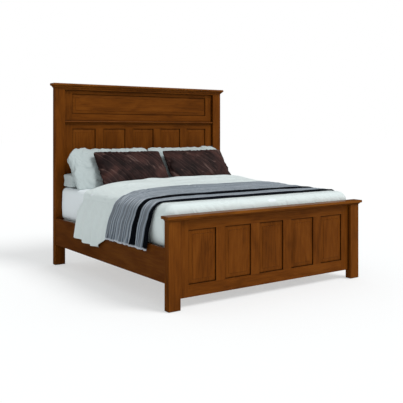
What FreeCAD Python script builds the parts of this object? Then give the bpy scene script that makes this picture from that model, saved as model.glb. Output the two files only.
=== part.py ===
import FreeCAD, Part
import os
from math import asin, cos, radians, sin

from FreeCAD import Vector

# Panel bed with raised-panel headboard and footboard, deep side rails, slats and bedding.
# Millimetres. +X is to the right seen from the foot, +Y runs from foot to head, +Z is up.
# The origin is on the floor, under the middle of the bed.

# ---------------------------------------------------------------- driving sizes

# Mattress and the well that the bed leaves for it
mattress_width = 1930.0
mattress_length = 2018.0
mattress_side_gap = 32.0
mattress_foot_gap = 24.0
mattress_head_gap = 2.0

# Posts
post_width = 105.0
post_depth = 62.0
post_edge_radius = 2.5
glide_radius = 16.0
glide_height = 4.0

# Footboard heights, above the floor
foot_frame_bottom = 82.0
foot_bottom_rail_height = 94.0
foot_panel_height = 415.0
foot_top_rail_height = 96.0

# Headboard heights, above the floor
head_frame_bottom = 330.0
head_bottom_rail_height = 140.0
head_lower_panel_height = 892.0
head_mid_rail_height = 150.0
head_upper_panel_height = 205.0
head_top_rail_height = 75.0

# Frame and panel work, the same in both boards
frame_setback = 30.0
frame_thickness = 25.0
stile_width = 90.0
muntin_width = 90.0
panels_in_a_row = 5
groove_depth = 10.0
panel_tongue = 6.0
panel_play = 2.0
panel_field_below_face = 3.0
panel_step = 1.5
panel_bevel_width = 36.0
tenon_length = 28.0
tenon_thickness = 8.0
tenon_shoulder = 12.0
post_tongue_thickness = 10.0
post_tongue_length = 12.0
joint_play = 0.1
mortise_relief = 1.0

# Caps and mouldings
foot_cap_thickness = 22.0
foot_cap_overhang = 23.0
foot_cap_back_overhang = 15.0
foot_cap_eased_edge = 1.5
foot_cove_height = 14.0
foot_cove_reach = 12.0
crown_thickness = 25.0
crown_overhang = 30.0
crown_back_overhang = 12.0
crown_nose_radius = 11.0
crown_cove_height = 20.0
crown_cove_reach = 18.0
cove_lip = 3.0
fascia_height = 37.0
ledge_top = 1441.0
ledge_nose_height = 16.0
ledge_cove_height = 15.0
ledge_reach = 27.0
ledge_nose_reach = 8.0

# Side rails, ledgers, slats and the beam under them
side_rail_thickness = 25.0
side_rail_height = 264.0
side_rail_bottom = 205.0
side_rail_inset = 3.0
side_rail_edge_radius = 2.0
ledger_thickness = 28.0
ledger_height = 35.0
ledger_above_rail_bottom = 2.0
ledger_end_gap = 40.0
slat_count = 9
slat_width = 90.0
slat_thickness = 20.0
slat_end_gap = 4.0
slat_first_gap = 70.0
beam_width = 45.0
beam_height = 70.0
beam_end_gap = 55.0
leg_count = 3
leg_top_width = 44.0
leg_bottom_width = 32.0
leg_end_inset = 330.0
leg_foot_radius = 22.0
leg_foot_height = 8.0

# Steel rail hooks and the slotted keepers let into the posts
plate_height = 150.0
plate_width = 18.0
plate_thickness = 2.5
hook_thickness = 3.0
hook_reach = 7.0
hook_neck_height = 20.0
hook_lip_drop = 6.0
hook_spacing = 80.0
slot_width = 5.0
slot_above_neck = 9.0
keeper_pocket_depth = 14.0
keeper_pocket_width = 8.0
hook_play = 0.4

# Foundation and mattress
soft_gap = 0.3
foundation_height = 192.0
foundation_gap = 4.0
foundation_end_gap = 3.0
foundation_corner = 30.0
mattress_height = 323.0
mattress_top_edge = 52.0
mattress_corner = 62.0

# Duvet: thin over the foot half and lofty towards the head, with a flap on each side. Each
# slope is its height over the mattress's top at the foot and at the head, were it to run on.
duvet_pillow_gap = 12.0
duvet_side = 8.0
duvet_slope = (6.0, 78.0)
duvet_loft_slope = (-52.0, 136.0)
duvet_head_roll = 40.0
duvet_tuck_depth = 10.0
duvet_head_overcut = 1.0
duvet_flap_from_foot_posts = 1100.0
duvet_flap_slant = 95.0
duvet_flap_hem = 315.0
duvet_flap_folds = 4

# Knitted throw across the bed
throw_thickness = 7.0
throw_width = 800.0
throw_from_foot_posts = 265.0
throw_hem = 415.0
throw_folds = 10

# How the hanging cloth stands off the rails
drape_top = 700.0
drape_fold = 6.0
drape_off_rail = 1.5
drape_bend_above_rail = 8.0

# Pillows: width, thickness, seam height, draw-in of the four sides
sleeping_pillow = (240.0, 135.0, 20.0, 14.0)
leaning_pillow = (470.0, 125.0, 16.0, 22.0)
velvet_pillow = (430.0, 115.0, 10.0, 20.0)
pillow_flat_along = 0.4
pillow_flat_across = 0.12
pillow_crest = 2.0
leaning_angle = 52.0
velvet_angle = 53.0
seating_slack = 0.05

# How far each pillow lies in from the mattress's side, left and right, and the gap between
# the two of a pair, which together set how long they are
sleeping_pillow_places = (12.0, 65.0, 53.0)
leaning_pillow_places = (15.0, 85.0, 30.0)
velvet_pillow_places = (235.0, 155.0, 60.0)

# Two places nearer than this are one
same_place = 1e-6

# ---------------------------------------------------------------- worked-out places

side_rail_outer = mattress_width / 2 + mattress_side_gap + side_rail_thickness
side_rail_inner = side_rail_outer - side_rail_thickness
post_outer = side_rail_outer + side_rail_inset
post_inner = post_outer - post_width
well_length = mattress_foot_gap + mattress_length + mattress_head_gap

overall_length = foot_cap_overhang + 2 * post_depth + well_length + crown_back_overhang
foot_front = foot_cap_overhang - overall_length / 2
foot_back = foot_front + post_depth
head_front = foot_back + well_length
head_back = head_front + post_depth

foot_panel_bottom = foot_frame_bottom + foot_bottom_rail_height
foot_panel_top = foot_panel_bottom + foot_panel_height
foot_frame_top = foot_panel_top + foot_top_rail_height

head_lower_panel_bottom = head_frame_bottom + head_bottom_rail_height
head_lower_panel_top = head_lower_panel_bottom + head_lower_panel_height
head_upper_panel_bottom = head_lower_panel_top + head_mid_rail_height
head_upper_panel_top = head_upper_panel_bottom + head_upper_panel_height
head_frame_top = head_upper_panel_top + head_top_rail_height

panel_area_half = post_inner - stile_width
muntin_total = (panels_in_a_row - 1) * muntin_width
panel_opening = (2 * panel_area_half - muntin_total) / panels_in_a_row

side_rail_top = side_rail_bottom + side_rail_height
plate_z = side_rail_bottom + side_rail_height / 2
plate_x = side_rail_outer - side_rail_thickness / 2
slat_bottom = side_rail_bottom + ledger_above_rail_bottom + ledger_height
slat_top = slat_bottom + slat_thickness
foundation_bottom = slat_top + soft_gap
mattress_bottom = foundation_bottom + foundation_height + soft_gap
mattress_top = mattress_bottom + mattress_height
mattress_foot = foot_back + mattress_foot_gap
mattress_head = mattress_foot + mattress_length
mattress_half = mattress_width / 2

# The share of a quarter circle's radius that its middle lies from the centre, each way
middle_share = cos(radians(45))

os.makedirs("parts", exist_ok=True)


# ---------------------------------------------------------------- helpers

def box(x0, x1, y0, y1, z0, z1):
    """A block between two corners."""
    return Part.makeBox(x1 - x0, y1 - y0, z1 - z0, Vector(x0, y0, z0))


def mirrored(shape):
    """The same piece for the other side of the bed."""
    return shape.mirror(Vector(0, 0, 0), Vector(1, 0, 0))


def save(name, shape):
    """Write one sub-part."""
    if len(shape.Solids) == 1:
        shape = shape.Solids[0]
    shape.exportStep("parts/" + name + ".step")


def save_pair(name, left_shape):
    """Write a left-hand piece and its mirror image."""
    save(name + "_left", left_shape)
    save(name + "_right", mirrored(left_shape))


def round_edges(shape, radius, wanted):
    """Round the straight edges that the test accepts, given both their ends."""
    edges = [e for e in shape.Edges if len(e.Vertexes) == 2
             and wanted(e.Vertexes[0].Point, e.Vertexes[1].Point)]
    return shape.makeFillet(radius, edges)


def is_upright(a, b):
    """True for an edge that runs along Z."""
    return max(abs(a.x - b.x), abs(a.y - b.y)) < same_place


def loop(points):
    """A closed wire of straight edges."""
    return Part.makePolygon(list(points) + [points[0]])


def arc(start, middle, end):
    """An edge on the circle through three points."""
    return Part.Arc(start, middle, end).toShape()


def line(start, end):
    """A straight edge."""
    return Part.makeLine(start, end)


# ---------------------------------------------------------------- posts

def post(front, z_top, tongue_bottom, tongue_top, mouth):
    """A left post: eased edges, a stopped groove for the stile and a pocket for the keeper.

    front is the y of the post's front face, and mouth is the y of the face that the
    side rail meets.
    """
    block = box(-post_outer, -post_inner, front, front + post_depth, glide_height, z_top)
    block = round_edges(block, post_edge_radius, is_upright)
    groove_middle = front + frame_setback + frame_thickness / 2
    groove_half = post_tongue_thickness / 2 + joint_play
    block = block.cut(box(-post_inner - post_tongue_length - mortise_relief, -post_inner,
                          groove_middle - groove_half, groove_middle + groove_half,
                          tongue_bottom - joint_play, tongue_top + joint_play))
    inward = 1.0 if mouth > front else -1.0
    return block.cut(keeper_recess(mouth, inward))


def keeper_recess(mouth, outward):
    """The plate seat and the deeper pocket behind it, cut into a post's face.

    outward is the side of the face on which the rail lies: +1 towards the head.
    """
    seat_floor = mouth - outward * plate_thickness
    pocket_floor = mouth - outward * keeper_pocket_depth
    seat = box(-plate_x - plate_width / 2, -plate_x + plate_width / 2,
               min(mouth, seat_floor), max(mouth, seat_floor),
               plate_z - plate_height / 2, plate_z + plate_height / 2)
    pocket_half_height = plate_height / 2 - plate_width
    pocket = box(-plate_x - keeper_pocket_width / 2, -plate_x + keeper_pocket_width / 2,
                 min(mouth, pocket_floor), max(mouth, pocket_floor),
                 plate_z - pocket_half_height, plate_z + pocket_half_height)
    return seat.fuse(pocket)


def make_posts():
    """Four posts, the cap and the crown resting on their tops."""
    foot = post(foot_front, foot_frame_top, foot_frame_bottom + tenon_shoulder,
                foot_frame_top - tenon_shoulder, foot_back)
    head = post(head_front, head_frame_top, head_frame_bottom + tenon_shoulder,
                head_frame_top - tenon_shoulder, head_front)
    save_pair("foot_post", foot)
    save_pair("head_post", head)


def make_post_glides():
    """A low plastic glide under the middle of each post."""
    middle_x = (post_outer + post_inner) / 2
    glides = []
    for x in (-middle_x, middle_x):
        for y in (foot_front + post_depth / 2, head_front + post_depth / 2):
            glides.append(Part.makeCylinder(glide_radius, glide_height, Vector(x, y, 0)))
    save("post_glides", Part.makeCompound(glides))


# ---------------------------------------------------------------- frame and panel

def core_y(front):
    """The y of the middle of a frame member, where grooves and tenons lie."""
    return front + frame_setback + frame_thickness / 2


def groove(front, x0, x1, z0, z1):
    """The slot that takes the panel tongues, between the given limits."""
    half = panel_tongue / 2 + 2 * joint_play
    return box(x0, x1, core_y(front) - half, core_y(front) + half, z0, z1)


def member(front, x0, x1, z0, z1):
    """A plain frame member before its joints are cut."""
    return box(x0, x1, front + frame_setback, front + frame_setback + frame_thickness, z0, z1)


def stile(front, z0, z1, rails):
    """The left stile: a tongue into the post, a panel groove and a mortise for each rail."""
    shape = member(front, -post_inner, -panel_area_half, z0, z1)
    tongue = box(-post_inner - post_tongue_length, -post_inner,
                 core_y(front) - post_tongue_thickness / 2,
                 core_y(front) + post_tongue_thickness / 2,
                 z0 + tenon_shoulder, z1 - tenon_shoulder)
    shape = shape.fuse(tongue)
    shape = shape.cut(groove(front, -panel_area_half - groove_depth, -panel_area_half,
                             rails[0][0] + tenon_shoulder, rails[-1][1] - tenon_shoulder))
    half = tenon_thickness / 2 + joint_play
    for low, high in rails:
        shape = shape.cut(box(-panel_area_half - tenon_length - mortise_relief,
                              -panel_area_half, core_y(front) - half, core_y(front) + half,
                              low + tenon_shoulder - joint_play,
                              high - tenon_shoulder + joint_play))
    return shape.removeSplitter()


def cross_rail(front, z0, z1, groove_below, groove_above):
    """A rail between the stiles, with a tenon at each end and grooves where panels meet it."""
    shape = member(front, -panel_area_half, panel_area_half, z0, z1)
    tenons = box(-panel_area_half - tenon_length, panel_area_half + tenon_length,
                 core_y(front) - tenon_thickness / 2, core_y(front) + tenon_thickness / 2,
                 z0 + tenon_shoulder, z1 - tenon_shoulder)
    shape = shape.fuse(tenons)
    if groove_below:
        shape = shape.cut(groove(front, -panel_area_half, panel_area_half, z0,
                                 z0 + groove_depth))
    if groove_above:
        shape = shape.cut(groove(front, -panel_area_half, panel_area_half,
                                 z1 - groove_depth, z1))
    return shape.removeSplitter()


def muntin(front, x0, z0, z1):
    """An upright between two panels, with stub tenons that fill the rails' grooves."""
    x1 = x0 + muntin_width
    shape = member(front, x0, x1, z0, z1)
    reach = groove_depth - joint_play
    shape = shape.fuse(box(x0, x1, core_y(front) - panel_tongue / 2,
                           core_y(front) + panel_tongue / 2, z0 - reach, z1 + reach))
    for edge0, edge1 in ((x0, x0 + groove_depth), (x1 - groove_depth, x1)):
        shape = shape.cut(groove(front, edge0, edge1, z0 - groove_depth, z1 + groove_depth))
    return shape.removeSplitter()


def raised_panel(front, x0, x1, z0, z1):
    """A floating panel: tongue all round, sloping bevel, small step and flat raised field.

    The bevel is a pyramid frustum from the opening's edge to the field's edge.
    """
    engage = groove_depth - panel_play
    tongue_front = core_y(front) - panel_tongue / 2
    tongue = box(x0 - engage, x1 + engage, tongue_front, tongue_front + panel_tongue,
                 z0 - engage, z1 + engage)
    field_y = front + frame_setback + panel_field_below_face
    step_y = field_y + panel_step
    inset = panel_bevel_width
    bevel = Part.makeWedge(x0 + inset, step_y, z0 + inset, z0 + joint_play, x0 + joint_play,
                           x1 - inset, tongue_front, z1 - inset, z1 - joint_play,
                           x1 - joint_play)
    field = box(x0 + inset + panel_step, x1 - inset - panel_step, field_y, step_y,
                z0 + inset + panel_step, z1 - inset - panel_step)
    back = box(x0 + joint_play, x1 - joint_play, tongue_front + panel_tongue,
               front + frame_setback + frame_thickness - panel_field_below_face,
               z0 + joint_play, z1 - joint_play)
    return tongue.fuse([bevel, field, back]).removeSplitter()


def make_panel_row(prefix, front, z0, z1):
    """Five panels and the four muntins between them."""
    pitch = panel_opening + muntin_width
    for i in range(panels_in_a_row):
        x0 = -panel_area_half + i * pitch
        x1 = x0 + panel_opening
        save(prefix + "_panel_" + str(i + 1), raised_panel(front, x0, x1, z0, z1))
        if i < panels_in_a_row - 1:
            save(prefix + "_muntin_" + str(i + 1), muntin(front, x1, z0, z1))


def make_footboard():
    """The footboard's frame and its row of tall panels."""
    rails = [(foot_frame_bottom, foot_panel_bottom), (foot_panel_top, foot_frame_top)]
    save_pair("foot_stile", stile(foot_front, foot_frame_bottom, foot_frame_top, rails))
    save("foot_bottom_rail", cross_rail(foot_front, *rails[0], False, True))
    save("foot_top_rail", cross_rail(foot_front, *rails[1], True, False))
    make_panel_row("foot", foot_front, foot_panel_bottom, foot_panel_top)


def make_headboard():
    """The headboard's frame, with one long panel over a row of five."""
    rails = [(head_frame_bottom, head_lower_panel_bottom),
             (head_lower_panel_top, head_upper_panel_bottom),
             (head_upper_panel_top, head_frame_top)]
    save_pair("head_stile", stile(head_front, head_frame_bottom, head_frame_top, rails))
    save("head_bottom_rail", cross_rail(head_front, *rails[0], False, True))
    save("head_mid_rail", cross_rail(head_front, *rails[1], True, True))
    save("head_top_rail", cross_rail(head_front, *rails[2], True, False))
    make_panel_row("head", head_front, head_lower_panel_bottom, head_lower_panel_top)
    save("head_upper_panel", raised_panel(head_front, -panel_area_half, panel_area_half,
                                          head_upper_panel_bottom, head_upper_panel_top))


# ---------------------------------------------------------------- caps and mouldings

def cove_section(reach, height):
    """Half of a cove moulding's section as (distance out, height up) points and one arc.

    The section has a flat back and top, a small lip at the top and a hollow quarter.
    """
    return [("line", (0, 0), (0, height)),
            ("line", (0, height), (reach, height)),
            ("line", (reach, height), (reach, height - cove_lip)),
            ("arc", (reach, height - cove_lip),
             (reach * (1 - middle_share) + cove_lip * middle_share,
              (height - cove_lip) * (1 - middle_share) + cove_lip * (1 - middle_share)),
             (cove_lip, 0)),
            ("line", (cove_lip, 0), (0, 0))]


def cove_strip(front, back, z_low, reach, height):
    """A cove moulding along a board's front and both ends, with mitred corners.

    Each run is the section pushed along its own side and cut at 45 degrees at the
    front corners, and the three runs make one piece.
    """
    def solid(place, push):
        edges = []
        for kind, *points in cove_section(reach, height):
            spots = [place(out, z_low + up) for out, up in points]
            edges.append(line(*spots) if kind == "line" else arc(*spots))
        return Part.Face(Part.Wire(edges)).extrude(push)

    reach_x = post_outer + reach
    front_run = solid(lambda out, z: Vector(-reach_x, front - out, z),
                      Vector(2 * reach_x, 0, 0))
    mitre = Part.Face(loop([Vector(-reach_x, front - reach, z_low),
                            Vector(reach_x, front - reach, z_low),
                            Vector(post_outer, front, z_low),
                            Vector(-post_outer, front, z_low)]))
    front_run = front_run.common(mitre.extrude(Vector(0, 0, height)))
    side_run = solid(lambda out, z: Vector(-post_outer - out, front - reach, z),
                     Vector(0, back - front + reach, 0))
    side_mitre = Part.Face(loop([Vector(-reach_x, front - reach, z_low),
                                 Vector(-post_outer, front, z_low),
                                 Vector(-post_outer, back, z_low),
                                 Vector(-reach_x, back, z_low)]))
    side_run = side_run.common(side_mitre.extrude(Vector(0, 0, height)))
    return front_run.fuse([side_run, mirrored(side_run)]).removeSplitter()


def make_foot_cap():
    """A flat cap over the footboard, the cove under it and the strip that backs the cove."""
    x = post_outer + foot_cap_overhang
    cap = box(-x, x, foot_front - foot_cap_overhang, foot_back + foot_cap_back_overhang,
              foot_frame_top, foot_frame_top + foot_cap_thickness)
    cap = cap.makeChamfer(foot_cap_eased_edge, cap.Edges)
    save("foot_cap", cap)
    save("foot_cap_moulding", cove_strip(foot_front, foot_back,
                                         foot_frame_top - foot_cove_height,
                                         foot_cove_reach, foot_cove_height))
    save("foot_fascia", box(-post_inner, post_inner, foot_front, foot_front + frame_setback,
                            foot_frame_top - foot_cove_height, foot_frame_top))


def make_crown():
    """The headboard's crown: a round-nosed top board, its cove and the fascia below."""
    x = post_outer + crown_overhang
    front = head_front - crown_overhang
    crown = box(-x, x, front, head_back + crown_back_overhang,
                head_frame_top, head_frame_top + crown_thickness)

    def on_nose(a, b):
        along_front = max(abs(a.y - front), abs(b.y - front)) < same_place
        along_end = max(abs(abs(a.x) - x), abs(a.x - b.x)) < same_place
        return along_front or along_end

    save("head_crown", round_edges(crown, crown_nose_radius, on_nose))
    save("head_crown_moulding", cove_strip(head_front, head_back,
                                           head_frame_top - crown_cove_height,
                                           crown_cove_reach, crown_cove_height))
    save("head_fascia", box(-post_inner, post_inner, head_front,
                            head_front + frame_setback,
                            head_frame_top - fascia_height, head_frame_top))


def make_ledge():
    """The ledge across the headboard: a half-round nose over a cove, glued to the frame."""
    back = head_front + frame_setback
    nose_y = back - ledge_reach
    shoulder_y = nose_y + ledge_nose_reach
    nose_low = ledge_top - ledge_nose_height
    nose_mid = ledge_top - ledge_nose_height / 2
    cove_low = nose_low - ledge_cove_height
    cove_reach = ledge_reach - ledge_nose_reach - cove_lip
    bend = middle_share

    def at(y, z):
        return Vector(-post_inner, y, z)

    wire = Part.Wire([
        line(at(back, cove_low), at(back, ledge_top)),
        line(at(back, ledge_top), at(shoulder_y, ledge_top)),
        arc(at(shoulder_y, ledge_top), at(nose_y, nose_mid), at(shoulder_y, nose_low)),
        arc(at(shoulder_y, nose_low),
            at(shoulder_y + cove_reach * bend, nose_low - ledge_cove_height * (1 - bend)),
            at(back - cove_lip, cove_low)),
        line(at(back - cove_lip, cove_low), at(back, cove_low))])
    save("head_ledge", Part.Face(wire).extrude(Vector(2 * post_inner, 0, 0)))


# ---------------------------------------------------------------- rails and support

def make_side_rails():
    """A deep board on each side, its ends let in for the hook plates, and its ledger."""
    rail = box(-side_rail_outer, -side_rail_inner, foot_back, head_front,
               side_rail_bottom, side_rail_top)

    def runs_along(a, b):
        return max(abs(a.x - b.x), abs(a.z - b.z)) < same_place

    rail = round_edges(rail, side_rail_edge_radius, runs_along)
    for end, inward in ((foot_back, 1.0), (head_front, -1.0)):
        other = end + inward * plate_thickness
        rail = rail.cut(box(-plate_x - plate_width / 2, -plate_x + plate_width / 2,
                            min(end, other), max(end, other),
                            plate_z - plate_height / 2, plate_z + plate_height / 2))
    save_pair("side_rail", rail)
    z0 = side_rail_bottom + ledger_above_rail_bottom
    ledger = box(-side_rail_inner, -side_rail_inner + ledger_thickness,
                 foot_back + ledger_end_gap, head_front - ledger_end_gap,
                 z0, z0 + ledger_height)
    save_pair("ledger", ledger)


def hook_plate(end, outward):
    """A rail's hook plate at the left rail: a flat plate with two downward hooks.

    end is the y of the rail's end, and outward points from the rail into the post.
    """
    inner = end - outward * plate_thickness
    plate = box(-plate_x - plate_width / 2, -plate_x + plate_width / 2,
                min(end, inner), max(end, inner),
                plate_z - plate_height / 2, plate_z + plate_height / 2)
    lip = end + outward * (plate_thickness + hook_play)
    tip = end + outward * hook_reach
    hooks = []
    for z in (plate_z - hook_spacing / 2, plate_z + hook_spacing / 2):
        low = z - hook_neck_height / 2
        high = z + hook_neck_height / 2
        x = -plate_x - hook_thickness / 2
        outline = loop([Vector(x, inner, low), Vector(x, lip, low),
                        Vector(x, lip, low - hook_lip_drop),
                        Vector(x, tip, low - hook_lip_drop),
                        Vector(x, tip, high - hook_lip_drop), Vector(x, lip, high),
                        Vector(x, inner, high)])
        hooks.append(Part.Face(outline).extrude(Vector(hook_thickness, 0, 0)))
    return plate.fuse(hooks).removeSplitter()


def keeper_plate(face, outward):
    """A post's keeper: a flat plate with a slot for each hook.

    face is the y of the post's face, and outward points from the rail into the post.
    """
    inner = face + outward * plate_thickness
    plate = box(-plate_x - plate_width / 2, -plate_x + plate_width / 2,
                min(face, inner), max(face, inner),
                plate_z - plate_height / 2, plate_z + plate_height / 2)
    for z in (plate_z - hook_spacing / 2, plate_z + hook_spacing / 2):
        low = z - hook_neck_height / 2 - hook_play
        plate = plate.cut(box(-plate_x - slot_width / 2, -plate_x + slot_width / 2,
                              min(face, inner), max(face, inner),
                              low, low + hook_neck_height + slot_above_neck))
    return plate


def make_rail_hardware():
    """Four hook plates and the four keepers that they drop into."""
    hooks = []
    keepers = []
    for face, outward in ((foot_back, -1.0), (head_front, 1.0)):
        hook = hook_plate(face, outward)
        keeper = keeper_plate(face, outward)
        hooks += [hook, mirrored(hook)]
        keepers += [keeper, mirrored(keeper)]
    save("rail_hook_plates", Part.makeCompound(hooks))
    save("post_keeper_plates", Part.makeCompound(keepers))


def make_slats():
    """Cross slats on the ledgers, at even spacing."""
    x = side_rail_inner - slat_end_gap
    first = foot_back + slat_first_gap
    last = head_front - slat_first_gap - slat_width
    pitch = (last - first) / (slat_count - 1)
    slats = []
    for i in range(slat_count):
        y = first + i * pitch
        slats.append(box(-x, x, y, y + slat_width, slat_bottom, slat_top))
    save("slats", Part.makeCompound(slats))


def tapered_leg(y, top):
    """A square leg that narrows from the beam down to its levelling foot."""
    wide = leg_top_width / 2
    narrow = leg_bottom_width / 2
    leg = Part.makeWedge(-narrow, leg_foot_height, -narrow, -wide, -wide,
                         narrow, top, narrow, wide, wide)
    leg.rotate(Vector(0, 0, 0), Vector(1, 0, 0), 90)
    leg.translate(Vector(0, y, 0))
    return leg


def make_beam():
    """The beam under the slats, its tapered legs and their levelling feet."""
    y0 = foot_back + beam_end_gap
    y1 = head_front - beam_end_gap
    bottom = slat_bottom - beam_height
    save("center_beam", box(-beam_width / 2, beam_width / 2, y0, y1, bottom, slat_bottom))
    legs = []
    feet = []
    pitch = (y1 - y0 - 2 * leg_end_inset) / (leg_count - 1)
    for i in range(leg_count):
        y = y0 + leg_end_inset + i * pitch
        legs.append(tapered_leg(y, bottom))
        feet.append(Part.makeCylinder(leg_foot_radius, leg_foot_height, Vector(0, y, 0)))
    save("beam_legs", Part.makeCompound(legs))
    save("beam_leg_feet", Part.makeCompound(feet))


# ---------------------------------------------------------------- mattress and bedding

def cushion(grow, z_low, foot_rise, head_rise):
    """The mattress's form, grown at the sides and ends, with its top sloping if asked.

    It is a block with rounded corners in plan and a rounded top edge. The two rises lift
    its top at the foot and at the head.
    """
    half = mattress_half + grow
    y0 = mattress_foot - grow
    y1 = mattress_head + grow
    side = Part.Face(loop([Vector(-half, y0, z_low), Vector(-half, y1, z_low),
                           Vector(-half, y1, mattress_top + head_rise),
                           Vector(-half, y0, mattress_top + foot_rise)]))
    block = side.extrude(Vector(2 * half, 0, 0))
    block = round_edges(block, mattress_corner + grow, is_upright)
    top = [e for e in block.Edges if e.BoundBox.ZMin > mattress_bottom + mattress_height / 2]
    return block.makeFillet(mattress_top_edge + grow, top)


def make_foundation():
    """Two half-width foundations side by side on the slats."""
    half = mattress_half - foundation_end_gap
    y0 = mattress_foot + foundation_end_gap
    y1 = mattress_head - foundation_end_gap
    one = box(-half, -foundation_gap / 2, y0, y1, foundation_bottom,
              foundation_bottom + foundation_height)
    one = round_edges(one, foundation_corner, is_upright)
    save("foundation", Part.makeCompound([one, mirrored(one)]))


def make_mattress():
    """The mattress in its fitted sheet."""
    save("mattress", cushion(0.0, mattress_bottom, 0.0, 0.0))


def wave(x, thick, y0, y1, z, folds):
    """A thin closed strip at one height, its two long sides waving together about x.

    Each fold is two arcs, one out and one in.
    """
    step = (y1 - y0) / (2 * folds)
    edges = []
    for face, start, step_y in ((x - thick / 2, y0, step), (x + thick / 2, y1, -step)):
        for i in range(2 * folds):
            a = start + i * step_y
            k = i if step_y > 0 else 2 * folds - 1 - i
            rise = drape_fold if k % 2 == 0 else -drape_fold
            edges.append(arc(Vector(face, a, z), Vector(face - rise, a + step_y / 2, z),
                             Vector(face, a + step_y, z)))
        end = start + 2 * folds * step_y
        other = 2 * x - face
        edges.append(line(Vector(face, end, z), Vector(other, end, z)))
    return Part.Wire(edges)


def drape(x_top, thick, y0, y1, hem, folds):
    """Cloth hanging on the left: it slopes out over the rail's edge and falls in folds.

    x_top is its middle where it leaves the side of the bed, and hem is its lower edge.
    """
    bend = side_rail_top + drape_bend_above_rail
    x_low = -side_rail_outer - drape_off_rail - drape_fold - thick / 2
    half = thick / 2
    slope = Part.Face(loop([Vector(x_top - half, y0, drape_top),
                            Vector(x_top + half, y0, drape_top),
                            Vector(x_low + half, y0, bend), Vector(x_low - half, y0, bend)]))
    folded = Part.Face(wave(x_low, thick, y0, y1, hem, folds))
    return slope.extrude(Vector(0, y1 - y0, 0)).fuse(folded.extrude(Vector(0, 0, bend - hem)))


def duvet_space(extra):
    """The space under the duvet's outer face, grown by extra.

    Its top is the higher of two planes, so that it turns steeper near the bed's middle.
    """
    forms = [cushion(duvet_side + soft_gap + extra, mattress_bottom, at_foot + extra,
                     at_head + extra) for at_foot, at_head in (duvet_slope, duvet_loft_slope)]
    return forms[0].fuse(forms[1]).removeSplitter()


def duvet_profile(y1):
    """The duvet seen from the side: its hem inside the rail and its rolled head end."""
    x = -side_rail_outer
    y0 = foot_back
    low = side_rail_top - duvet_tuck_depth
    share = (y1 - mattress_foot) / mattress_length
    at_foot, at_head = duvet_loft_slope
    high = mattress_top + at_foot + share * (at_head - at_foot) + duvet_head_overcut
    roll = duvet_head_roll
    bend = roll * middle_share
    outline = Part.Wire([
        line(Vector(x, y0, low), Vector(x, y1, low)),
        line(Vector(x, y1, low), Vector(x, y1, high - roll)),
        arc(Vector(x, y1, high - roll), Vector(x, y1 - roll + bend, high - roll + bend),
            Vector(x, y1 - roll, high)),
        line(Vector(x, y1 - roll, high), Vector(x, y0, high)),
        line(Vector(x, y0, high), Vector(x, y0, low))])
    return Part.Face(outline).extrude(Vector(2 * side_rail_outer, 0, 0))


def duvet_flap(y1):
    """The left flap: it hangs over the rail, and its head edge slants out towards the hem."""
    y0 = foot_front + duvet_flap_from_foot_posts
    y_hem = y1 + duvet_flap_slant
    flap = drape(-mattress_half - soft_gap - duvet_side / 2, duvet_side, y0, y_hem,
                 duvet_flap_hem, duvet_flap_folds)
    x = -side_rail_outer - post_width
    side = Part.Face(loop([Vector(x, y0, duvet_flap_hem), Vector(x, y_hem, duvet_flap_hem),
                           Vector(x, y_hem, side_rail_top), Vector(x, y1, drape_top),
                           Vector(x, y0, drape_top)]))
    return flap.common(side.extrude(Vector(side_rail_outer, 0, 0)))


def make_duvet(pillow_front):
    """The duvet: tucked in at the foot, rolled at the head, with a hanging flap each side.

    It is drawn up to the pillows, whose foremost point is at pillow_front.
    """
    y1 = pillow_front - duvet_pillow_gap
    body = duvet_space(0.0).common(duvet_profile(y1))
    body = body.cut(cushion(soft_gap, mattress_bottom, soft_gap, soft_gap))
    flap = duvet_flap(y1)
    body = body.fuse([flap, mirrored(flap)]).removeSplitter()
    save("duvet", body)


def make_throw():
    """The knitted throw: over the duvet, with folds hanging down both sides."""
    y0 = foot_front + throw_from_foot_posts
    y1 = y0 + throw_width
    cloth = duvet_space(soft_gap + throw_thickness).cut(duvet_space(soft_gap))
    cloth = cloth.common(box(-side_rail_outer, side_rail_outer, y0, y1,
                             drape_top, mattress_top + mattress_height))
    x_top = -mattress_half - duvet_side - 2 * soft_gap - throw_thickness / 2
    fall = drape(x_top, throw_thickness, y0, y1, throw_hem, throw_folds)
    save("throw_blanket", cloth.fuse([fall, mirrored(fall)]).removeSplitter())


# ---------------------------------------------------------------- pillows

def bulge(at, half, flat, thick, seam):
    """A closed wire of a pillow's section: flat in the middle, with an arc to each seam.

    at turns (across, height) into a point. Each arc leaves the flat without a corner.
    """
    high = thick / 2
    low = seam / 2
    radius = ((half - flat) ** 2 + (high - low) ** 2) / (2 * (high - low))
    turn = asin((half - flat) / radius) / 2
    across = flat + radius * sin(turn)
    up = high - radius * (1 - cos(turn))
    edges = []
    for s in (1, -1):
        edges.append(line(at(-s * half, -s * low), at(-s * half, s * low)))
        edges.append(arc(at(-s * half, s * low), at(-s * across, s * up),
                         at(-s * flat, s * high)))
        edges.append(line(at(-s * flat, s * high), at(s * flat, s * high)))
        edges.append(arc(at(s * flat, s * high), at(s * across, s * up),
                         at(s * half, s * low)))
    return Part.Wire(edges)


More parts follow.
